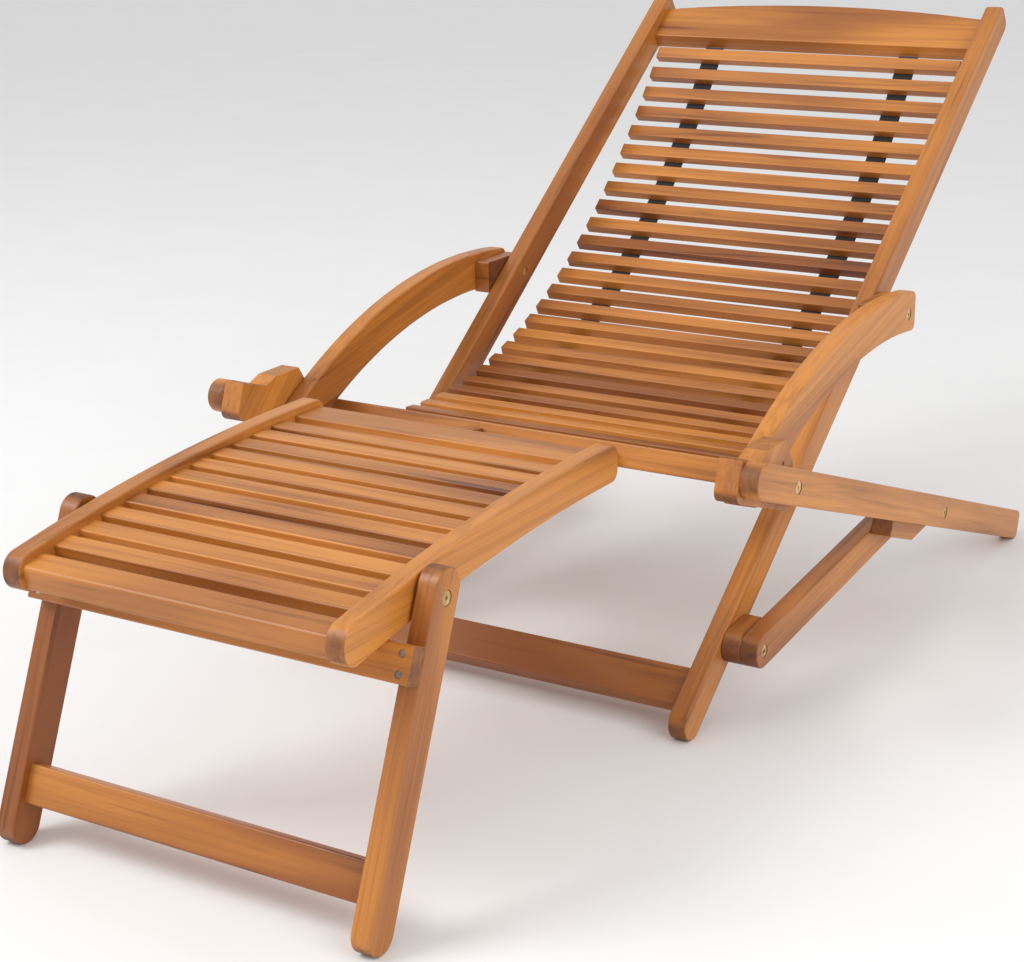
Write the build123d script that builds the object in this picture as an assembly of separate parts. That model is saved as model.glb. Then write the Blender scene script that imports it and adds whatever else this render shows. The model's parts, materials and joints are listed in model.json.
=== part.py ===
from build123d import *
import os
from math import asinh, atan2, atanh, cos, degrees, radians, sin, sinh, sqrt

# Folding deck chair with a lift-off footrest. Millimetres, +Z up, +Y towards the headrail,
# +X to the left of someone sitting in it. Origin: on the floor, on the centre plane, at the
# middle of the open chair's length. Side shapes are drawn in the Y-Z plane with y measured
# near the back frame's feet, given their thickness along X, and moved to the origin when saved.

# Boards
BOARD = 22.0            # thickness of every rail, leg and arm
RAIL_WIDTH = 40.0       # depth of the long rails, the legs and the struts
EASE = 2.0              # rounding of the handled edges
SIDE_GAP = 0.5          # air between two boards that move past each other
BAR_THICKNESS = 20.0    # cross rails

# Overall
SEAT_OUTER_HALF = 360.0     # half width over the seat rails
BACK_INNER_HALF = 244.0     # half width between the back rails

# Seat frame
SEAT_ANGLE = 19.45          # seat rails fall towards the rear
SEAT_RAIL_LENGTH = 942.0
SEAT_REAR_Y = 848.0         # rear end of the seat rails
SEAT_REAR_RADIUS = 10.0
ARM_BOLT_FROM_FRONT = 110.0
STRUT_BOLT_FROM_REAR = 332.0
FRONT_BAR_FROM_FRONT = 190.0
FRONT_BAR_RISE = 5.0
FRONT_BAR_HEIGHT = 28.0
FRONT_BAR_DEPTH = 22.0

# Back frame
BACK_ANGLE = 36.3           # back rails rise towards the rear
BACK_FOOT_Y = 8.5           # middle of their round feet
BACK_RAIL_LENGTH = 1190.0
BACK_TOP_RADIUS = 12.0
LEG_BOLT_FROM_FOOT = 128.0
ARM_BOLT_FROM_FOOT = 638.0
HEADRAIL_HEIGHT = 58.0
HEADRAIL_CROWN = 18.0
HEADRAIL_FORWARD = 5.0      # front face ahead of the rail's centre line
BACK_BAR_FROM_FOOT = 34.0
BACK_BAR_HEIGHT = 49.0

# Armrests
ARM_RADIUS = 740.0          # top edge
ARM_WIDTH = 50.0
ARM_CREST_BEFORE_BOLT = 67.0
ARM_BEYOND_BOLT = 24.0
ARM_CREST_RISE = 31.0       # crest above the rear bolt
ARM_BELOW_RAIL = 9.0
SPACER_LENGTH = 78.0
SPACER_HEIGHT = 42.0

# Blocks between the armrest and the seat rail, and between the strut and the seat rail
CHEEK_BELOW_RAIL = 7.0
CHEEK_ABOVE_RAIL = 29.0
CHEEK_REAR = 41.0           # behind the armrest bolt
CHEEK_FRONT_RADIUS = 12.0
PILOT_RADIUS = 2.2          # open screw hole above the rail
PILOT_DEPTH = 8.0
CLEAT_BELOW_RAIL = 21.0
CLEAT_FRONT = 126.0         # ahead of the strut bolt
CLEAT_HEEL = 45.0
CLEAT_REAR = 46.0
BLOCK_LENGTH = 62.0         # block between the strut and the leg

# Slat roll
SLATS = 26
BACK_SLATS = 18
SLAT_PITCH = 34.2
SLAT_HALF_LENGTH = 231.0
SLAT_WIDTH = 18.0
SLAT_THICKNESS = 14.0
SLAT_EASE = 1.5
STRAP_LENGTH = 888.0
STRAP_FIRST_SLAT = 20.0
STRAP_OFFSET = 149.0        # middle of a strap from the centre plane
STRAP_WIDTH = 28.0
STRAP_THICKNESS = 1.6
STRAP_BEDDING = 0.15        # slats clear the curve of the webbing by this much

# Footrest
FOOT_OUTER_HALF = 202.5
FOOT_LENGTH = 497.0
FOOT_REAR_Y = -50.0
FOOT_RADIUS = 2450.0        # top edge of its side rails
FOOT_CREST_Y = -98.5
FOOT_TOP = 350.0
FOOT_SLATS = 11
FOOT_SLAT_PITCH = 34.7
FOOT_SLAT_WIDTH = 24.0
FOOT_SLAT_THICKNESS = 14.0
FOOT_SLAT_DROP = 8.0        # slats below the top of the side rails
FOOT_FRONT_WIDTH = 33.0
FOOT_FRONT_HEIGHT = 27.0
FOOT_REAR_WIDTH = 48.0
FOOT_END_INSET = 7.0
TONGUE_OFFSET = 90.0
TONGUE_HEIGHT = 20.0
PEG_RADIUS = 5.0
PEG_LENGTH = 14.0

# Footrest legs
LEG_ANGLE = 22.6            # feet lean forward
LEG_BOLT_Y = -422.5
LEG_BOLT_Z = 305.0
LEG_ABOVE_BOLT = 29.0
LEG_GAP = 3.5
STOP_BAR_HEIGHT = 36.5
STOP_BAR_BELOW_BOLT = 46.0
LEG_BAR_HEIGHT = 40.0
LEG_BAR_BELOW_BOLT = 246.0

# Hardware
BOLT_RADIUS = 4.0
HEAD_RADIUS = 7.2
HEAD_THICKNESS = 2.5
HEAD_SUNK = 0.6             # bolt heads below the wood
HEAD_GAP = 0.5              # ring of air round a bolt head
SOCKET_RADIUS = 2.3
SOCKET_DEPTH = 1.4
NUT_RADIUS = 5.5
RUNNING_GAP = 0.05          # bolts and pegs in their holes
NUT_GAP = 0.3               # nuts off the board that turns under them
SCREW_RADIUS = 2.0
SCREW_HEAD_RADIUS = 4.0
SCREW_HEAD_THICKNESS = 2.0
SCREW_SUNK = 0.8
SCREW_LENGTH = 38.0
SCREW_SPACING = 19.0
TENON = 8.0                 # cross rails run this far into the boards they join

os.makedirs("parts", exist_ok=True)

# Layers from the centre plane outwards
BACK_OUTER = BACK_INNER_HALF + BOARD
ARM_INNER = BACK_OUTER + SIDE_GAP + BOARD
ARM_OUTER = ARM_INNER + BOARD
SEAT_INNER = SEAT_OUTER_HALF - BOARD
FOOT_INNER = FOOT_OUTER_HALF - BOARD
LEG_INNER = FOOT_OUTER_HALF + LEG_GAP
LEG_OUTER = LEG_INNER + BOARD


class Line:
    """A board's centre line in the side plane: a start point and a slope."""

    def __init__(self, y, z, angle):
        self.y, self.z, self.angle = y, z, angle

    def at(self, along, up=0.0):
        a = radians(self.angle)
        return (self.y + along * cos(a) - up * sin(a), self.z + along * sin(a) + up * cos(a))


def plate(profile, x_from, x_to):
    """Gives a side profile its thickness, from x_from to x_to."""
    return extrude(Plane.YZ.offset(x_from) * profile, x_to - x_from)


def eased(solid, size=EASE):
    """Rounds the edges of the two flat sides of a plate."""
    sides = solid.faces().filter_by(Axis.X)
    return fillet(sides.edges(), size)


def rail_profile(line, length, width, start_radius, end_radius):
    """Outline of a straight board along a line, from 0 to length, with its corners rounded."""
    outline = Rectangle(length, width)
    starts = outline.vertices().group_by(Axis.X)[0]
    outline = fillet(starts, start_radius)
    ends = outline.vertices().group_by(Axis.X)[-1]
    outline = fillet(ends, end_radius)
    y, z = line.at(length / 2)
    return Pos(y, z) * Rot(0, 0, line.angle) * outline


def crossbar(line, along, up, height, depth, half_length):
    """A straight piece from side to side: height along the line, depth across it."""
    y, z = line.at(along, up)
    bar = Box(2 * half_length, height, depth)
    bar = fillet(bar.edges().filter_by(Axis.X), EASE)
    return Pos(0, y, z) * Rot(line.angle, 0, 0) * bar


def hole(point, radius, x_from, x_to):
    """A round piece or cutter along X."""
    return plate(Pos(*point) * Circle(radius), x_from, x_to)


def mirrored(solid):
    return mirror(solid, about=Plane.YZ)


def save(name, *solids):
    """Writes one node; several solids stay separate inside it."""
    placed = [Pos(0, -MIDDLE_Y, 0) * solid for solid in solids]
    shape = placed[0] if len(placed) == 1 else Compound(children=placed)
    export_step(shape, f"parts/{name}.step")


def save_pair(name, right):
    """Writes NAME_right and its mirror image NAME_left."""
    save(f"{name}_right", right)
    save(f"{name}_left", mirrored(right))


# ---- lines and pivots -------------------------------------------------------------------

HALF = RAIL_WIDTH / 2
FULL_ROUND = HALF - 0.01
SEAT_REAR_Z = (
    SEAT_REAR_RADIUS
    - SEAT_REAR_RADIUS * sin(radians(SEAT_ANGLE))
    + (HALF - SEAT_REAR_RADIUS) * cos(radians(SEAT_ANGLE))
)
SEAT = Line(SEAT_REAR_Y, SEAT_REAR_Z, 180 - SEAT_ANGLE)         # from the rear, upwards to the front
FOOT_OF_BACK = Line(BACK_FOOT_Y, HALF, BACK_ANGLE)
BACK = Line(*FOOT_OF_BACK.at(-HALF), BACK_ANGLE)                # from the foot, upwards
ARM_FRONT_BOLT = SEAT.at(SEAT_RAIL_LENGTH - ARM_BOLT_FROM_FRONT)
STRUT_REAR_BOLT = SEAT.at(STRUT_BOLT_FROM_REAR)
ARM_REAR_BOLT = BACK.at(ARM_BOLT_FROM_FOOT)
STRUT_FRONT_BOLT = BACK.at(LEG_BOLT_FROM_FOOT)
LEG_BOLT = (LEG_BOLT_Y, LEG_BOLT_Z)
LEG = Line(*LEG_BOLT, -90 - LEG_ANGLE)                          # from the bolt, down to the foot
LEG_BELOW_BOLT = (LEG_BOLT_Z - HALF) / cos(radians(LEG_ANGLE))  # to the middle of the round foot
FRONT_Y = LEG.at(LEG_BELOW_BOLT)[0] - HALF
REAR_Y = BACK.at(BACK_RAIL_LENGTH - BACK_TOP_RADIUS, BACK_TOP_RADIUS - HALF)[0] + BACK_TOP_RADIUS
MIDDLE_Y = (FRONT_Y + REAR_Y) / 2


def span(a, b):
    return sqrt((b[0] - a[0]) ** 2 + (b[1] - a[1]) ** 2)


def line_between(a, b, before=0.0):
    """The line from a to b, starting a little before a."""
    angle = degrees(atan2(b[1] - a[1], b[0] - a[0]))
    return Line(*Line(*a, angle).at(-before), angle)


# ---- hardware ---------------------------------------------------------------------------

HEAD_DEPTH = HEAD_SUNK + HEAD_THICKNESS


def bolt(point, x_outer, x_inner, nut=True):
    """Machine screw with a flat round head let into the outer face, and a cap nut inside."""
    head_out = x_outer - HEAD_SUNK
    head_in = head_out - HEAD_THICKNESS
    body = hole(point, HEAD_RADIUS, head_in, head_out)
    body += hole(point, BOLT_RADIUS, x_inner + HEAD_SUNK, head_in)
    if nut:
        body += hole(point, NUT_RADIUS, x_inner + HEAD_SUNK, x_inner + HEAD_DEPTH - NUT_GAP)
    socket = Pos(*point) * RegularPolygon(SOCKET_RADIUS, 6)
    return body - plate(socket, head_out - SOCKET_DEPTH, head_out)


def bored(board, point, x_inner, x_outer, head=False, nut=False):
    """A board with a bolt hole, and a recess for the bolt's head or nut."""
    board -= hole(point, BOLT_RADIUS + RUNNING_GAP, x_inner, x_outer)
    if head:
        board -= hole(point, HEAD_RADIUS + HEAD_GAP, x_outer - HEAD_DEPTH, x_outer)
    if nut:
        board -= hole(point, NUT_RADIUS + HEAD_GAP, x_inner, x_inner + HEAD_DEPTH)
    return board


# ---- seat frame -------------------------------------------------------------------------

FRONT_BAR_ALONG = SEAT_RAIL_LENGTH - FRONT_BAR_FROM_FRONT


def seat_front_bar(extra=0.0):
    """Front cross rail, tenoned into both seat rails."""
    return crossbar(
        SEAT, FRONT_BAR_ALONG, -FRONT_BAR_RISE,
        FRONT_BAR_DEPTH + extra, FRONT_BAR_HEIGHT + extra, SEAT_INNER + TENON + extra,
    )


def tongue_line():
    """Under the footrest's rear rail, down to the middle of the front cross rail."""
    start_y = FOOT_REAR_Y - FOOT_END_INSET - FOOT_REAR_WIDTH
    start_z = foot_top_at(start_y) - FOOT_SLAT_DROP - BOARD - TONGUE_HEIGHT / 2 - 2
    bar_y, bar_z = SEAT.at(FRONT_BAR_ALONG, -FRONT_BAR_RISE)
    reach = FRONT_BAR_DEPTH / 2 / cos(radians(SEAT_ANGLE)) + SIDE_GAP
    return (start_y, start_z), (bar_y - reach, bar_z)


def foot_top_at(y):
    """Height of the footrest rails' arched top edge."""
    return FOOT_TOP - FOOT_RADIUS + sqrt(FOOT_RADIUS ** 2 - (y - FOOT_CREST_Y) ** 2)


def seat_rail():
    profile = rail_profile(SEAT, SEAT_RAIL_LENGTH, RAIL_WIDTH, SEAT_REAR_RADIUS, FULL_ROUND)
    rail = eased(plate(profile, SEAT_INNER, SEAT_OUTER_HALF))
    for point in (ARM_FRONT_BOLT, STRUT_REAR_BOLT):
        rail = bored(rail, point, SEAT_INNER, SEAT_OUTER_HALF, head=True)
    return rail - seat_front_bar()


def peg(side, extra=0.0, lead=0.0):
    """Round end of a tongue, along +Y. A hole for it is larger by extra and starts earlier by lead."""
    end_y, end_z = tongue_line()[1]
    length = PEG_LENGTH + SIDE_GAP + extra + lead
    pin = Cylinder(PEG_RADIUS + extra, length)
    return Pos(side * TONGUE_OFFSET, end_y - lead + length / 2, end_z) * Rot(90, 0, 0) * pin


def front_bar_with_holes():
    bar = seat_front_bar()
    for side in (-1, 1):
        bar -= peg(side, RUNNING_GAP, FRONT_BAR_DEPTH / 2)
    return bar


def cheek():
    """Block between the armrest and the seat rail: it stands above the rail behind the armrest."""
    low = HALF + CHEEK_BELOW_RAIL
    high = HALF + CHEEK_ABOVE_RAIL
    front = SEAT_RAIL_LENGTH - 2
    middle = SEAT_RAIL_LENGTH - ARM_BOLT_FROM_FRONT
    corners = [
        SEAT.at(front, low), SEAT.at(front, -HALF + EASE), SEAT.at(middle + 62, -HALF),
        SEAT.at(middle + 47, -high + 16), SEAT.at(middle + 3, -high),
        SEAT.at(middle - CHEEK_REAR + 15, -HALF - 7), SEAT.at(middle - CHEEK_REAR, low),
    ]
    outline = make_face(Polyline(*corners, close=True))
    outline = fillet(outline.vertices().group_by(Axis.X)[0], CHEEK_FRONT_RADIUS)
    outline = fillet(outline.vertices().group_by(Axis.X)[-1], 3)
    block = eased(plate(outline, ARM_OUTER + SIDE_GAP, SEAT_INNER), 1)
    block -= hole(SEAT.at(middle + 1, -HALF - 3), PILOT_RADIUS, SEAT_INNER - PILOT_DEPTH, SEAT_INNER)
    return bored(block, ARM_FRONT_BOLT, ARM_OUTER, SEAT_INNER)


def cleat():
    """Block between the strut and the seat rail, reaching below the rail."""
    low = HALF + CLEAT_BELOW_RAIL
    middle = STRUT_BOLT_FROM_REAR
    corners = [
        SEAT.at(middle + CLEAT_FRONT, low), SEAT.at(middle + CLEAT_FRONT, -HALF + EASE),
        SEAT.at(middle - CLEAT_REAR, -HALF + EASE), SEAT.at(middle - CLEAT_REAR, 0),
        SEAT.at(middle + CLEAT_HEEL, low),
    ]
    outline = fillet(make_face(Polyline(*corners, close=True)).vertices(), 3)
    block = eased(plate(outline, ARM_OUTER + SIDE_GAP, SEAT_INNER), 1)
    return bored(block, STRUT_REAR_BOLT, ARM_OUTER, SEAT_INNER)


def build_seat_frame():
    save_pair("seat_rail", seat_rail())
    save("seat_front_bar", front_bar_with_holes())
    save("armrest_cheeks", cheek(), mirrored(cheek()))
    save("strut_cleats", cleat(), mirrored(cleat()))
    bolts = [bolt(p, SEAT_OUTER_HALF, ARM_INNER) for p in (ARM_FRONT_BOLT, STRUT_REAR_BOLT)]
    save("seat_rail_bolts", *bolts, *[mirrored(b) for b in bolts])


# ---- back frame -------------------------------------------------------------------------

HEADRAIL_TOP = BACK_RAIL_LENGTH
HEADRAIL_BOTTOM = BACK_RAIL_LENGTH - HEADRAIL_CROWN - HEADRAIL_HEIGHT


def headrail():
    """Top rail with an arched top edge, tenoned into the back rails."""
    half = BACK_INNER_HALF + TENON
    shoulder = HEADRAIL_BOTTOM + HEADRAIL_HEIGHT
    radius = (half ** 2 + HEADRAIL_CROWN ** 2) / (2 * HEADRAIL_CROWN)
    crown = Pos(0, shoulder + HEADRAIL_CROWN - radius) * Circle(radius)
    height = HEADRAIL_HEIGHT + HEADRAIL_CROWN
    outline = (Pos(0, HEADRAIL_BOTTOM + height / 2) * Rectangle(2 * half, height)) & crown
    board = extrude(outline, BOARD)
    long_edges = board.faces().group_by(Axis.Z)[-1].edges().filter_by(lambda e: e.length > half)
    board = fillet(long_edges, EASE)
    y, z = BACK.at(0, HEADRAIL_FORWARD - BOARD)
    return Pos(0, y, z) * Rot(BACK_ANGLE, 0, 0) * board


def back_bar():
    """Cross rail just above the feet."""
    along = BACK_BAR_FROM_FOOT + BACK_BAR_HEIGHT / 2
    return crossbar(BACK, along, 0, BACK_BAR_HEIGHT, BAR_THICKNESS, BACK_INNER_HALF + TENON)


def back_rail():
    profile = rail_profile(BACK, BACK_RAIL_LENGTH, RAIL_WIDTH, FULL_ROUND, BACK_TOP_RADIUS)
    rail = eased(plate(profile, BACK_INNER_HALF, BACK_OUTER))
    rail = bored(rail, ARM_REAR_BOLT, BACK_INNER_HALF, BACK_OUTER, nut=True)
    return rail - headrail() - back_bar()


def build_back_frame():
    save_pair("back_rail", back_rail())
    save("headrail", headrail())
    save("back_bar", back_bar())


# ---- armrests ---------------------------------------------------------------------------

ARM_CENTRE = (
    ARM_REAR_BOLT[0] - ARM_CREST_BEFORE_BOLT,
    ARM_REAR_BOLT[1] + ARM_CREST_RISE - ARM_RADIUS,
)


def armrest():
    """A board sawn to an arc, cut off square behind and level with the cheek below."""
    ring = Circle(ARM_RADIUS) - Circle(ARM_RADIUS - ARM_WIDTH)
    ring = Pos(*ARM_CENTRE) * ring
    low = HALF + ARM_BELOW_RAIL
    rear = ARM_REAR_BOLT[0] + ARM_BEYOND_BOLT
    crest = ARM_CENTRE[1] + ARM_RADIUS + 1
    front = SEAT.at(SEAT_RAIL_LENGTH + RAIL_WIDTH, low)
    below_strut_bolt = SEAT.at(STRUT_BOLT_FROM_REAR, low)
    cut = [front, below_strut_bolt, (rear, crest), (front[0], crest)]
    window = make_face(Polyline(*cut, close=True))
    outline = ring & window
    outline = fillet(outline.vertices(), 9)
    board = eased(plate(outline, ARM_INNER, ARM_OUTER), 3)
    board = bored(board, ARM_FRONT_BOLT, ARM_INNER, ARM_OUTER, nut=True)
    return bored(board, ARM_REAR_BOLT, ARM_INNER, ARM_OUTER, head=True)


def arm_spacer():
    """Block that keeps the armrest clear of the back rail, glued to the armrest."""
    y, z = ARM_REAR_BOLT
    middle = y + ARM_BEYOND_BOLT - 4 - SPACER_LENGTH / 2
    outline = Pos(middle, z) * RectangleRounded(SPACER_LENGTH, SPACER_HEIGHT, 2)
    block = plate(outline, BACK_OUTER + SIDE_GAP, ARM_INNER)
    return bored(block, ARM_REAR_BOLT, BACK_OUTER, ARM_INNER)


def build_armrests():
    save_pair("armrest", armrest())
    save("armrest_spacers", arm_spacer(), mirrored(arm_spacer()))
    pivot = bolt(ARM_REAR_BOLT, ARM_OUTER, BACK_INNER_HALF)
    save("armrest_bolts", pivot, mirrored(pivot))


# ---- struts -----------------------------------------------------------------------------

STRUT_LENGTH = span(STRUT_FRONT_BOLT, STRUT_REAR_BOLT)


def strut():
    """Round-ended link from the back frame's leg to the seat rail."""
    line = line_between(STRUT_FRONT_BOLT, STRUT_REAR_BOLT, HALF)
    profile = rail_profile(line, STRUT_LENGTH + RAIL_WIDTH, RAIL_WIDTH, FULL_ROUND, FULL_ROUND)
    board = eased(plate(profile, ARM_INNER, ARM_OUTER))
    board = bored(board, STRUT_FRONT_BOLT, ARM_INNER, ARM_OUTER, head=True)
    return bored(board, STRUT_REAR_BOLT, ARM_INNER, ARM_OUTER, nut=True)


def strut_block():
    """Short block on the strut's front end, against the leg."""
    line = line_between(STRUT_FRONT_BOLT, STRUT_REAR_BOLT, HALF)
    profile = rail_profile(line, BLOCK_LENGTH, RAIL_WIDTH, FULL_ROUND, 2)
    block = eased(plate(profile, BACK_OUTER + SIDE_GAP, ARM_INNER), 1)
    return bored(block, STRUT_FRONT_BOLT, BACK_OUTER, ARM_INNER)


def build_struts():
    save_pair("strut", strut())
    save("strut_blocks", strut_block(), mirrored(strut_block()))
    pivot = bolt(STRUT_FRONT_BOLT, ARM_OUTER, BACK_OUTER + SIDE_GAP, nut=False)
    save("strut_bolts", pivot, mirrored(pivot))


# ---- slat roll --------------------------------------------------------------------------

# The webbing hangs in a catenary from under the headrail to the rear of the front cross rail.
ROLL_TOP = BACK.at(HEADRAIL_BOTTOM - 1, HEADRAIL_FORWARD - BOARD + 3)
ROLL_FRONT = SEAT.at(FRONT_BAR_ALONG - FRONT_BAR_DEPTH / 2 - 1, 0)


def catenary():
    """Radius at the lowest point, that point, and the arc positions of the front end and the top."""
    width = ROLL_TOP[0] - ROLL_FRONT[0]
    height = ROLL_TOP[1] - ROLL_FRONT[1]
    chord = sqrt(STRAP_LENGTH ** 2 - height ** 2)
    low, high = width / 20, width * 20
    for _ in range(60):
        radius = (low + high) / 2
        slack = 2 * radius * sinh(width / (2 * radius)) > chord
        low, high = (radius, high) if slack else (low, radius)
    lowest_y = (ROLL_FRONT[0] + ROLL_TOP[0]) / 2 - radius * atanh(height / STRAP_LENGTH)
    front = radius * sinh((ROLL_FRONT[0] - lowest_y) / radius)
    top = radius * sinh((ROLL_TOP[0] - lowest_y) / radius)
    lowest_z = ROLL_FRONT[1] - sqrt(radius ** 2 + front ** 2) + radius
    return radius, lowest_y, lowest_z, front, top


ROLL_RADIUS, ROLL_LOW_Y, ROLL_LOW_Z, ROLL_FRONT_ARC, ROLL_TOP_ARC = catenary()


def roll_line(arc):
    """Tangent line of the webbing at an arc distance from its lowest point."""
    y = ROLL_LOW_Y + ROLL_RADIUS * asinh(arc / ROLL_RADIUS)
    z = ROLL_LOW_Z + sqrt(ROLL_RADIUS ** 2 + arc ** 2) - ROLL_RADIUS
    return Line(y, z, degrees(atan2(arc, ROLL_RADIUS)))


def slat_arc(index):
    return ROLL_TOP_ARC - STRAP_FIRST_SLAT - index * SLAT_PITCH


def roll_slat(index):
    line = roll_line(slat_arc(index))
    y, z = line.at(0, STRAP_THICKNESS / 2 + STRAP_BEDDING + SLAT_THICKNESS / 2)
    slat = Box(2 * SLAT_HALF_LENGTH, SLAT_WIDTH, SLAT_THICKNESS)
    slat = fillet(slat.edges().filter_by(Axis.X), SLAT_EASE)
    return Pos(0, y, z) * Rot(line.angle, 0, 0) * slat


def strap(arc_from, arc_to, steps):
    """A band of webbing that follows the catenary."""
    arcs = [arc_from + (arc_to - arc_from) * i / steps for i in range(steps + 1)]
    half = STRAP_THICKNESS / 2
    upper = [roll_line(a).at(0, half) for a in arcs]
    lower = [roll_line(a).at(0, -half) for a in reversed(arcs)]
    edges = Spline(*upper) + Edge.make_line(upper[-1], lower[0])
    edges += Spline(*lower) + Edge.make_line(lower[-1], upper[0])
    return plate(make_face(edges), STRAP_OFFSET - STRAP_WIDTH / 2, STRAP_OFFSET + STRAP_WIDTH / 2)


def build_roll():
    middle = (slat_arc(BACK_SLATS - 1) + slat_arc(BACK_SLATS)) / 2
    back_band = strap(middle + SIDE_GAP, ROLL_TOP_ARC, 14)
    seat_band = strap(ROLL_FRONT_ARC, middle - SIDE_GAP, 8)
    save("back_straps", back_band, mirrored(back_band))
    save("seat_straps", seat_band, mirrored(seat_band))
    for index in range(SLATS):
        save(f"roll_slat_{index + 1:02d}", roll_slat(index))


# ---- footrest ---------------------------------------------------------------------------


def foot_band(top_drop, depth, y_from, y_to):
    """Outline between two arcs that follow the footrest's arched top."""
    centre = (FOOT_CREST_Y, FOOT_TOP - FOOT_RADIUS)
    outer = FOOT_RADIUS - top_drop
    ring = Pos(*centre) * (Circle(outer) - Circle(outer - depth))
    height = FOOT_TOP + 1 - LEG_BOLT_Z + RAIL_WIDTH * 2
    window = Pos((y_from + y_to) / 2, FOOT_TOP + 1 - height / 2) * Rectangle(y_to - y_from, height)
    return ring & window


def foot_rail():
    """Arched side rail with rounded ends."""
    outline = foot_band(0, RAIL_WIDTH, FOOT_REAR_Y - FOOT_LENGTH, FOOT_REAR_Y)
    front = outline.vertices().group_by(Axis.X)[0]
    outline = fillet(front, HALF - 1)
    rear = outline.vertices().group_by(Axis.X)[-1]
    outline = fillet(rear, 12)
    rail = eased(plate(outline, FOOT_INNER, FOOT_OUTER_HALF))
    return bored(rail, LEG_BOLT, FOOT_INNER, FOOT_OUTER_HALF, nut=True)


def foot_cross(y_from, width, depth, drop=FOOT_SLAT_DROP, ease=EASE, tenon=TENON):
    """A slat or wide rail between the side rails."""
    middle = y_from + width / 2
    slope = degrees(atan2(FOOT_CREST_Y - middle, FOOT_RADIUS))
    piece = Box(2 * (FOOT_INNER + tenon), width, depth)
    piece = fillet(piece.edges().filter_by(Axis.X), ease)
    z = foot_top_at(middle) - drop - depth / 2
    return Pos(0, middle, z) * Rot(slope, 0, 0) * piece


def foot_slats():
    """Narrow slats, butted and dowelled to the side rails."""
    gap = FOOT_SLAT_PITCH - FOOT_SLAT_WIDTH
    first = FOOT_REAR_Y - FOOT_LENGTH + FOOT_END_INSET + FOOT_FRONT_WIDTH + gap
    return [
        foot_cross(first + i * FOOT_SLAT_PITCH, FOOT_SLAT_WIDTH, FOOT_SLAT_THICKNESS, tenon=0)
        for i in range(FOOT_SLATS)
    ]


def foot_front_rail():
    """Wide front rail, well rounded over."""
    y = FOOT_REAR_Y - FOOT_LENGTH + FOOT_END_INSET
    return foot_cross(y, FOOT_FRONT_WIDTH, FOOT_FRONT_HEIGHT, FOOT_SLAT_DROP + 1, 5)


def foot_rear_rail():
    y = FOOT_REAR_Y - FOOT_END_INSET - FOOT_REAR_WIDTH
    return foot_cross(y, FOOT_REAR_WIDTH, BOARD)


def tongue(side):
    """Bar under the footrest that carries its rear end on the seat's front cross rail."""
    start, end = tongue_line()
    line = line_between(start, end)
    length = span(start, end)
    y, z = line.at(length / 2)
    bar = Pos(side * TONGUE_OFFSET, y, z) * Rot(line.angle, 0, 0) * Box(BOARD, length, TONGUE_HEIGHT)
    return bar - foot_rear_rail() - seat_front_bar(2 * SIDE_GAP) + peg(side)


def build_footrest():
    rail = foot_rail()
    for piece in (foot_front_rail(), foot_rear_rail()):
        rail -= piece
    save_pair("footrest_rail", rail)
    save("footrest_front_rail", foot_front_rail())
    save("footrest_rear_rail", foot_rear_rail())
    save("footrest_slats", *foot_slats())
    save("footrest_tongues", tongue(-1), tongue(1))


# ---- footrest legs ----------------------------------------------------------------------


def stop_bar():
    """Bar screwed to the front of both legs: the side rails rest on it."""
    along = STOP_BAR_BELOW_BOLT + STOP_BAR_HEIGHT / 2
    return crossbar(LEG, along, -HALF - BAR_THICKNESS / 2, STOP_BAR_HEIGHT, BAR_THICKNESS, LEG_OUTER)


def leg_bar():
    along = LEG_BAR_BELOW_BOLT + LEG_BAR_HEIGHT / 2
    return crossbar(LEG, along, 0, LEG_BAR_HEIGHT, BAR_THICKNESS, LEG_INNER + TENON)


def along_screws(piece):
    """Two copies of a piece that points back along -Z, at the screws into the +X leg."""
    along = STOP_BAR_BELOW_BOLT + STOP_BAR_HEIGHT / 2
    copies = []
    for shift in (-SCREW_SPACING / 2, SCREW_SPACING / 2):
        y, z = LEG.at(along + shift, -HALF - BAR_THICKNESS)
        place = Pos((LEG_INNER + LEG_OUTER) / 2, y, z) * Rot(90 - LEG_ANGLE, 0, 0)
        copies.append(place * piece)
    return copies


def stem(radius, z_from, z_to):
    return Pos(0, 0, (z_from + z_to) / 2) * Cylinder(radius, abs(z_to - z_from))


def stop_screws():
    """Two screws through the stop bar into the leg, heads just below the wood."""
    head = stem(SCREW_HEAD_RADIUS, -SCREW_SUNK, -SCREW_SUNK - SCREW_HEAD_THICKNESS)
    return along_screws(head + stem(SCREW_RADIUS, -SCREW_SUNK, -SCREW_LENGTH))


def screw_holes():
    sink = stem(SCREW_HEAD_RADIUS, SCREW_SUNK, -SCREW_SUNK - SCREW_HEAD_THICKNESS)
    return along_screws(sink + stem(SCREW_RADIUS, SCREW_SUNK, -SCREW_LENGTH))


def leg():
    line = Line(*LEG.at(-LEG_ABOVE_BOLT), LEG.angle)
    length = LEG_ABOVE_BOLT + LEG_BELOW_BOLT + HALF
    profile = rail_profile(line, length, RAIL_WIDTH, FULL_ROUND, FULL_ROUND)
    board = eased(plate(profile, LEG_INNER, LEG_OUTER))
    board = bored(board, LEG_BOLT, LEG_INNER, LEG_OUTER, head=True)
    for cutter in (leg_bar(), *screw_holes()):
        board -= cutter
    return board


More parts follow.
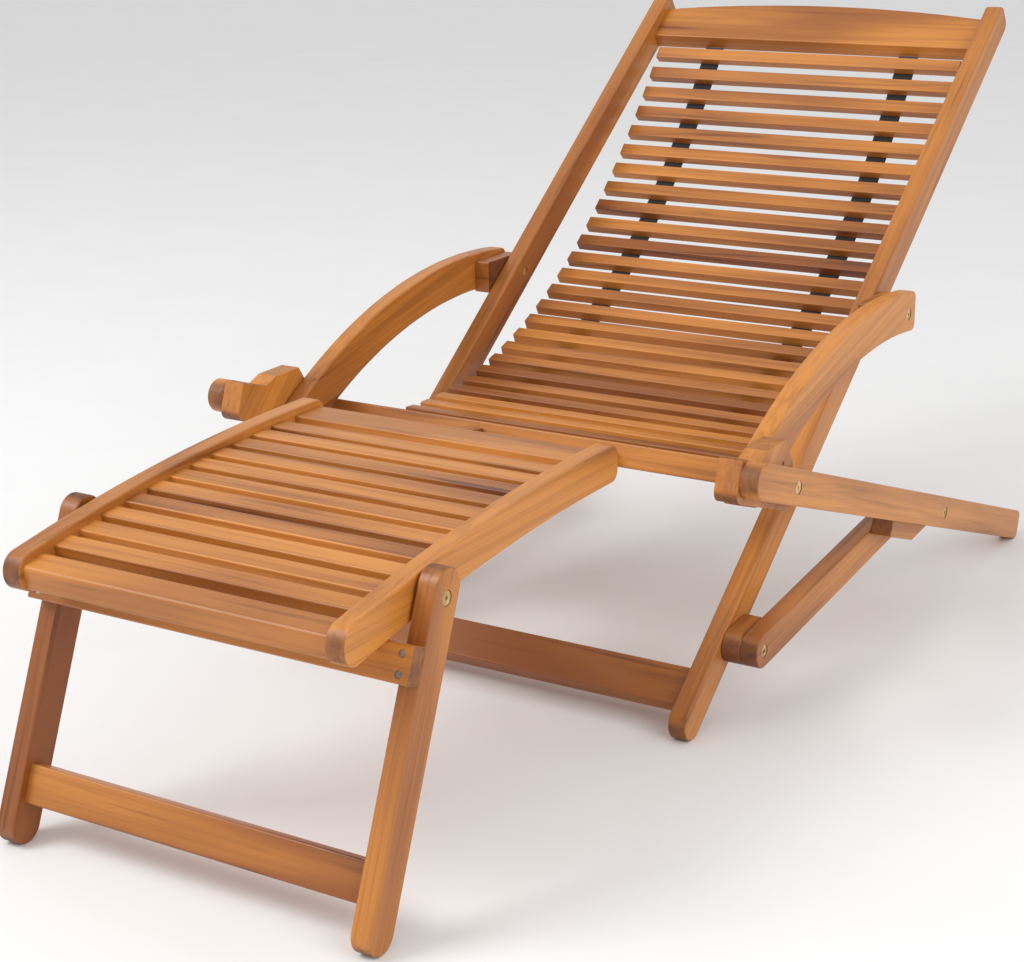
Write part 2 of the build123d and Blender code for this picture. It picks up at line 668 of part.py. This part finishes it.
def build_legs():
    save_pair("footrest_leg", leg())
    save("leg_bar", leg_bar())
    bar = stop_bar()
    for cutter in screw_holes():
        bar = bar - cutter - mirrored(cutter)
    save("stop_bar", bar)
    screws = stop_screws()
    save("stop_bar_screws", *screws, *[mirrored(s) for s in screws])
    pivot = bolt(LEG_BOLT, LEG_OUTER, FOOT_INNER)
    save("footrest_leg_bolts", pivot, mirrored(pivot))


build_seat_frame()
build_back_frame()
build_armrests()
build_struts()
build_roll()
build_footrest()
build_legs()
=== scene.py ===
import bpy
import json
import numpy as np
from math import atan2, cos, pi, radians, sin
from mathutils import Matrix, Vector


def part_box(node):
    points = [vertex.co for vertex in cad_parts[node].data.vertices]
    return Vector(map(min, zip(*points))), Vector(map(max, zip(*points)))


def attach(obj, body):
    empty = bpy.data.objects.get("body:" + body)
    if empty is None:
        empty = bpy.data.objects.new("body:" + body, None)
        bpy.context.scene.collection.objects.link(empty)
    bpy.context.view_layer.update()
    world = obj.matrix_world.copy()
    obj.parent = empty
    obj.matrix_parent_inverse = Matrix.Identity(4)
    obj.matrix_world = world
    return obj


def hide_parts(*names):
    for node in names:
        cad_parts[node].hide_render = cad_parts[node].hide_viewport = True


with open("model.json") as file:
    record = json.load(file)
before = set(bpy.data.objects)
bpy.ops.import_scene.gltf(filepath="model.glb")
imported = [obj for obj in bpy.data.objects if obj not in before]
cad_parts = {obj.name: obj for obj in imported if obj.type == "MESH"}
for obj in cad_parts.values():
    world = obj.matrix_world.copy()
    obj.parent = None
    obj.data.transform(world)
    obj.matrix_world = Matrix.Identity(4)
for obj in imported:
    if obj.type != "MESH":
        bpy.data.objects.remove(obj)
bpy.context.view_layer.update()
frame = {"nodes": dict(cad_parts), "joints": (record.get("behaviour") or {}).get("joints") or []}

# ---- Seat frame ----
# Two long side rails fall from the front to the floor behind, joined by a cross rail near the
# front, with blocks inside them for the armrests and struts. Acacia, oiled honey orange with
# brown streaks along the grain and dark purple-brown ends: 22 mm boards with eased edges.
# Each board takes its own cut of the same wood, with the grain along its length. Their tones
# are partly the boards' own and partly painted light and shade: the right rail and the cheeks
# are lighter as painted light, and the cleats inside the rails darker as painted shade.


class Socket:
    """A shader output that Python's operators act on."""

    def __init__(self, tree, output):
        self.tree, self.output = tree, output

    def make(self, kind, inputs, output=0, **settings):
        """A new node with these inputs, each a value or another Socket."""
        made = self.tree.nodes.new("ShaderNode" + kind)
        for key, value in settings.items():
            setattr(made, key, value)
        for key, value in inputs.items():
            if isinstance(value, Socket):
                self.tree.links.new(value.output, made.inputs[key])
            else:
                made.inputs[key].default_value = value
        return Socket(self.tree, made.outputs[output])

    def math(self, operation, first, second=0.0):
        return self.make("Math", {0: first, 1: second}, operation=operation)

    def __add__(self, other):
        return self.math("ADD", self, other)

    def __sub__(self, other):
        return self.math("SUBTRACT", self, other)

    def __rsub__(self, other):
        return self.math("SUBTRACT", other, self)

    def __mul__(self, other):
        return self.math("MULTIPLY", self, other)

    __radd__ = __add__
    __rmul__ = __mul__

    def between(self, low, high):
        """0 below low and 1 above high."""
        return self.make("MapRange", {0: self, 1: low, 2: high}, interpolation_type="SMOOTHSTEP")

    def blend(self, first, second):
        """The first colour where this is 0, and the second where it is 1."""
        return self.make("Mix", {0: self, 6: first, 7: second}, output=2, data_type="RGBA")

    def to(self, shader, name):
        self.tree.links.new(self.output, shader.inputs[name])


def new_material(name, **constants):
    """A material's shader, and its texture coordinates node."""
    material = bpy.data.materials.new(name)
    material.use_nodes = True
    tree = material.node_tree
    shader = tree.nodes["Principled BSDF"]
    for key, value in constants.items():
        shader.inputs[key.replace("_", " ")].default_value = value
    return material, shader, tree.nodes.new("ShaderNodeTexCoord")


def wood(name, turn, seed, tone=0.0, pitch=None):
    """Oiled acacia whose grain is turned onto Y. tone is darker below 0 and lighter above, and for
    some frame parts it also carries painted light and shade; with pitch, each slat of a row along
    Y has its own tone."""
    material, shader, at = new_material(name, Coat_Weight=0.06, Coat_Roughness=0.3)
    place = Socket(material.node_tree, at.outputs["Object"])
    normal = Socket(material.node_tree, at.outputs["Normal"])
    shift = (0.37 * seed, 0.53 * seed, 0.71 * seed)
    grain = place.make("Mapping", {"Vector": place, "Rotation": turn, "Location": shift})

    def noise(scale, detail, warp=0.0):
        inputs = {"Vector": scaled(scale), "Scale": 1.0, "Detail": detail, "Distortion": warp}
        return grain.make("TexNoise", inputs)

    def scaled(scale):
        return grain.make("Mapping", {"Vector": grain, "Scale": scale})

    patches = noise((14, 2.2, 14), 2)
    streaks = noise((85, 3.0, 85), 5, 0.9)
    rings = noise((190, 2.5, 190), 3, 0.4)
    fibres = noise((1100, 22, 1100), 3)
    lightness = patches.between(0.25, 0.75) * 0.75 + tone + 0.1
    if pitch:
        step = place.make("SeparateXYZ", {0: place}, output=1) * (1 / pitch) + seed
        slat = place.math("FLOOR", step)
        own_tone = place.make("TexWhiteNoise", {1: slat}, noise_dimensions="1D")
        lightness = lightness + own_tone * 0.5 - 0.25
    body = lightness.between(0.0, 1.0).blend((0.27, 0.078, 0.012, 1), (0.64, 0.245, 0.040, 1))
    dark = streaks.between(0.52, 0.72) * (1.15 - lightness.between(0.0, 1.0)) * 0.85
    body = dark.blend(body, (0.105, 0.027, 0.008, 1))
    body = (rings.between(0.45, 0.62) * 0.28).blend(body, (0.27, 0.078, 0.014, 1))
    body = (fibres.between(0.55, 0.75) * 0.22).blend(body, (0.17, 0.055, 0.015, 1))
    across = normal.make("Mapping", {"Vector": normal, "Rotation": turn}, vector_type="VECTOR")
    along = across.math("ABSOLUTE", across.make("SeparateXYZ", {0: across}, output=1))
    end = (along + fibres * 0.12).between(0.55, 0.95)
    body = (end * (streaks * 0.7 + 0.3)).blend(body, (0.085, 0.024, 0.012, 1))
    body.to(shader, "Base Color")
    (fibres * 0.16 + streaks * 0.1 + 0.27 + end * 0.15).to(shader, "Roughness")
    height = fibres * 0.6 + rings * 0.4
    bump = height.make("Bump", {"Strength": 0.25, "Distance": 0.0006, "Height": height})
    bump.to(shader, "Normal")
    return material


def finish_node(name, material):
    """Gives a CAD node its material."""
    slots = frame["nodes"][name].material_slots
    for part in slots:
        part.material = material
    if not slots:
        frame["nodes"][name].data.materials.append(material)


def slope(start, end):
    """Turns grain that runs from start to end, in the side plane, onto Y."""
    return (-atan2(end.z - start.z, end.y - start.y), 0, 0)


joints = {joint["name"]: joint for joint in frame["joints"]}
arm_bolt = Vector(joints["armrest_tilt"]["pos_m"])
strut_bolt = Vector(joints["strut_swing"]["pos_m"])
back_bolt = Vector(joints["back_fold"]["pos_m"])
leg_bolt = Vector(joints["footrest_legs_fold"]["pos_m"])
foot_bolt = sum(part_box("strut_bolts"), Vector()) / 2
crosswise = (0, 0, pi / 2)
seat_slope = slope(arm_bolt, strut_bolt)
# Tones: the right rail and the cheeks lighter as painted light, the cleats darker as painted
# shade.
finish_node("seat_rail_right", wood("acacia seat rail right", seat_slope, 1, 0.15))
finish_node("seat_rail_left", wood("acacia seat rail left", seat_slope, 2, 0.05))
cheek_slope = slope(arm_bolt, back_bolt + Vector((0, 0, 0.35)))
finish_node("armrest_cheeks", wood("acacia cheeks", cheek_slope, 3, 0.25))
finish_node("strut_cleats", wood("acacia cleats", seat_slope, 4, -0.1))
finish_node("seat_front_bar", wood("acacia front bar", crosswise, 5, 0.0))

# ---- Back frame ----
# Two rails lean back from round feet to the crowned headrail, with a cross rail just above
# the feet. The same wood, 40 mm deep and 22 mm thick, with the headrail and the right rail
# lighter as painted light and the low cross rail darker as painted shade, on top of the boards'
# own tones.
back_slope = slope(foot_bolt, back_bolt)
finish_node("back_rail_right", wood("acacia back rail right", back_slope, 6, 0.1))
finish_node("back_rail_left", wood("acacia back rail left", back_slope, 7, 0.0))
finish_node("headrail", wood("acacia headrail", crosswise, 8, 0.12))
finish_node("back_bar", wood("acacia back bar", crosswise, 9, -0.15))

# ---- Armrests and struts ----
# Each armrest is sawn to an arc from a straight board, so its grain runs straight through
# the curve. The struts tie the feet of the back frame to the seat rails.
arm_slope = slope(arm_bolt, back_bolt)
# The right armrest is lighter than the left as painted light, on top of its own tone.
finish_node("armrest_right", wood("acacia armrest right", arm_slope, 10, 0.3))
finish_node("armrest_left", wood("acacia armrest left", arm_slope, 11, 0.15))
finish_node("armrest_spacers", wood("acacia spacers", crosswise, 12, 0.0))
strut_slope = slope(foot_bolt, strut_bolt)
finish_node("strut_right", wood("acacia strut right", strut_slope, 13, 0.0))
finish_node("strut_left", wood("acacia strut left", strut_slope, 14, 0.1))
# The strut blocks are darker as painted shade.
finish_node("strut_blocks", wood("acacia strut blocks", strut_slope, 15, -0.2))

# ---- Slat roll ----
# 26 loose slats lie across the webbing. Their tones differ from one to the next, from light
# honey to reddish brown, as in boards cut from several planks.
tones = (0.1, -0.12, 0.25, 0.0, -0.2, 0.16, -0.04)
planks = [wood(f"acacia slat {i}", crosswise, 20 + i, tone) for i, tone in enumerate(tones)]
slats = [f"roll_slat_{i + 1:02d}" for i in range(26)]
for index, name in enumerate(slats):
    finish_node(name, planks[(index * 3 + index // 5) % len(planks)])

# ---- Webbing ----
# Two black woven bands, 28 mm wide and 1.5 mm thick, hang from the headrail to the front
# cross rail under the slats. Each is in two lengths, one on the back and one on the seat.
material, shader, at = new_material("black webbing", Roughness=0.85, Sheen_Weight=0.3)
uv = Socket(material.node_tree, at.outputs["UV"])
across_band = uv.make("SeparateXYZ", {0: uv}, output=0)
along_band = uv.make("SeparateXYZ", {0: uv}, output=1)
warp = uv.math("SINE", across_band * 2 * pi * 11)
weft = uv.math("SINE", along_band * 2 * pi)
ribs = warp * weft * 0.5 + 0.5
border = uv.math("ABSOLUTE", across_band - 0.5).between(0.42, 0.46)
threads = (ribs * 0.8 + border * 0.3).between(0.0, 1.0)
threads.blend((0.006, 0.006, 0.007, 1), (0.03, 0.03, 0.034, 1)).to(shader, "Base Color")
threads.make("Bump", {"Strength": 0.7, "Distance": 0.0005, "Height": threads}).to(shader, "Normal")
webbing = material

middles = [sum(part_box(name), Vector()) / 2 for name in slats]
sag = np.polyfit([p.y for p in middles], [p.z for p in middles], 7)
under_slat = 0.0079     # from the middle of a slat to the middle of the webbing
band_width = 0.028
band_thickness = 0.0015
end_gap = 0.0006
weave_length = 0.0028   # one repeat of the weave along a band


def band_point(y):
    """The middle of the band below a point y on the line of the slats' middles."""
    tilt = atan2(np.polyval(np.polyder(sag), y), 1)
    return y + under_slat * sin(tilt), float(np.polyval(sag, y)) - under_slat * cos(tilt)


def band_line(low, high):
    """Points down a band between two values of Y, low and high."""
    guides = np.linspace(low - under_slat, high + under_slat, 400)
    points = [band_point(y) for y in guides]
    return [p for p in points if low + end_gap <= p[0] <= high - end_gap]


def band(name, node, side, body):
    """One length of webbing, from its CAD node's place, on one side of the chair."""
    low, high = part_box(node)
    line = np.array(band_line(low.y, high.y))
    steps = np.linalg.norm(np.diff(line, axis=0), axis=1)
    length = float(steps.sum())
    travelled = np.concatenate([[0], np.cumsum(steps)])
    bpy.ops.object.select_all(action="DESELECT")
    bpy.ops.mesh.primitive_grid_add(x_subdivisions=8, y_subdivisions=120, size=1)
    piece = bpy.context.object
    piece.name = name
    middle = side * (high.x - band_width / 2)
    for vertex in piece.data.vertices:
        reach = (vertex.co.y + 0.5) * length
        y = np.interp(reach, travelled, line[:, 0])
        z = np.interp(reach, travelled, line[:, 1])
        vertex.co = (middle + vertex.co.x * band_width, y, z)
    for corner in piece.data.uv_layers.active.data:
        corner.uv.y *= length / weave_length
    bpy.ops.object.shade_smooth()
    bpy.ops.object.modifier_add(type="SOLIDIFY")
    piece.modifiers["Solidify"].thickness = band_thickness
    piece.modifiers["Solidify"].offset = 0
    bpy.ops.object.modifier_apply(modifier="Solidify")
    piece.data.materials.append(webbing)
    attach(piece, body)
    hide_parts(node)


for side, label in ((1, "right"), (-1, "left")):
    band(f"back_webbing_{label}", "back_straps", side, "back_frame")
    band(f"seat_webbing_{label}", "seat_straps", side, "seat_frame")

# ---- Footrest ----
# An arched frame of two side rails, a wide rounded front rail and a wide rear slat, with 11
# narrow slats between them and two tongues that plug into the seat's front bar.
# The right rail is lighter than the left as painted light, and the tongues under the seat's front
# bar darker as painted shade.
finish_node("footrest_rail_right", wood("acacia footrest rail right", (0, 0, 0), 31, 0.25))
finish_node("footrest_rail_left", wood("acacia footrest rail left", (0, 0, 0), 32, 0.1))
finish_node("footrest_front_rail", wood("acacia footrest front", crosswise, 33, 0.15))
finish_node("footrest_rear_rail", wood("acacia footrest rear", crosswise, 34, 0.15))
finish_node("footrest_slats", wood("acacia footrest slats", crosswise, 35, 0.05, pitch=0.0347))
finish_node("footrest_tongues", wood("acacia tongues", (0, 0, 0), 36, -0.1))

# ---- Footrest legs ----
# Two round-ended legs, hung outside the footrest rails, with a low cross rail and a stop bar
# screwed across their fronts.
foot_radius = 0.02
foot_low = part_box("footrest_leg_right")[0]
leg_slope = slope(leg_bolt, foot_low + Vector((0, foot_radius, foot_radius)))
# The right leg is lighter than the left as painted light, and the low leg bar darker as painted
# shade.
finish_node("footrest_leg_right", wood("acacia leg right", leg_slope, 41, 0.1))
finish_node("footrest_leg_left", wood("acacia leg left", leg_slope, 42, -0.05))
finish_node("leg_bar", wood("acacia leg bar", crosswise, 43, -0.2))
finish_node("stop_bar", wood("acacia stop bar", crosswise, 44, -0.05))

# ---- Bolts and screws ----
# Flat brass-plated bolt heads with hexagon sockets, 14.4 mm across, and dark zinc screws.
# Fine scratches turn round the heads and break up the shine.


def metal(name, light, dark, rough):
    material, shader, at = new_material(name, Metallic=1.0)
    place = Socket(material.node_tree, at.outputs["Object"])
    wear = place.make("TexNoise", {"Vector": place, "Scale": 420.0, "Detail": 4.0})
    grime = place.make("TexNoise", {"Vector": place, "Scale": 90.0, "Detail": 2.0})
    grime.between(0.35, 0.7).blend(light, dark).to(shader, "Base Color")
    (wear * 0.3 + rough).to(shader, "Roughness")
    bump = wear.make("Bump", {"Strength": 0.2, "Distance": 0.0002, "Height": wear})
    bump.to(shader, "Normal")
    return material


brass = metal("brass", (0.80, 0.60, 0.27, 1), (0.48, 0.33, 0.14, 1), 0.22)
zinc = metal("dark zinc", (0.42, 0.38, 0.33, 1), (0.16, 0.13, 0.11, 1), 0.35)
for name in ("seat_rail_bolts", "armrest_bolts", "strut_bolts", "footrest_leg_bolts"):
    finish_node(name, brass)
finish_node("stop_bar_screws", zinc)

# ---- Floor, light and camera ----
# A pale seamless floor, an even white surround, a large soft light from the upper left and a
# weaker one from the right.
bpy.ops.object.select_all(action="DESELECT")
bpy.ops.mesh.primitive_plane_add(size=60)
floor = bpy.context.object
floor.name = "floor"
material, shader, at = new_material("pale floor", Roughness=0.9)
place = Socket(material.node_tree, at.outputs["Object"])
specks = place.make("TexNoise", {"Vector": place, "Scale": 6.0, "Detail": 3.0})
specks.blend((0.86, 0.86, 0.86, 1), (0.90, 0.90, 0.90, 1)).to(shader, "Base Color")
floor.data.materials.append(material)

world = bpy.data.worlds.new("studio")
bpy.context.scene.world = world
world.use_nodes = True
world.node_tree.nodes["Background"].inputs[0].default_value = (1, 1, 1, 1)
world.node_tree.nodes["Background"].inputs[1].default_value = 0.75


chair_middle = Vector((0, 0, 0.3))


def soft_light(name, place, size, power):
    """A square area light that faces the middle of the chair."""
    bpy.ops.object.light_add(type="AREA", location=place)
    light = bpy.context.object
    light.name = name
    light.data.size = size
    light.data.energy = power
    aim = chair_middle - Vector(place)
    light.rotation_euler = aim.to_track_quat("-Z", "Y").to_euler()


soft_light("key", (-2.2, -2.6, 3.4), 2.0, 95)
soft_light("fill", (3.4, -1.2, 2.2), 2.5, 45)

yaw = radians(31.706)
tilt = radians(-17.161)
roll = radians(-0.882)
ahead = Vector((-sin(yaw) * cos(tilt), cos(yaw) * cos(tilt), sin(tilt)))
level = Vector((cos(yaw), sin(yaw), 0))
upward = level.cross(ahead)
right = level * cos(roll) + upward * sin(roll)
up = upward * cos(roll) - level * sin(roll)
bpy.ops.object.camera_add()
camera = bpy.context.object
camera.name = "camera"
turned = Matrix((right, up, -ahead)).transposed().to_4x4()
camera.matrix_world = Matrix.Translation((1.1938, -2.0848, 0.9752)) @ turned
camera.data.sensor_width = 36
camera.data.lens = 72.68
camera.data.shift_x = 0.0089
camera.data.shift_y = -0.0190
camera.data.clip_end = 200
scene = bpy.context.scene
scene.camera = camera
scene.view_settings.view_transform = "Standard"
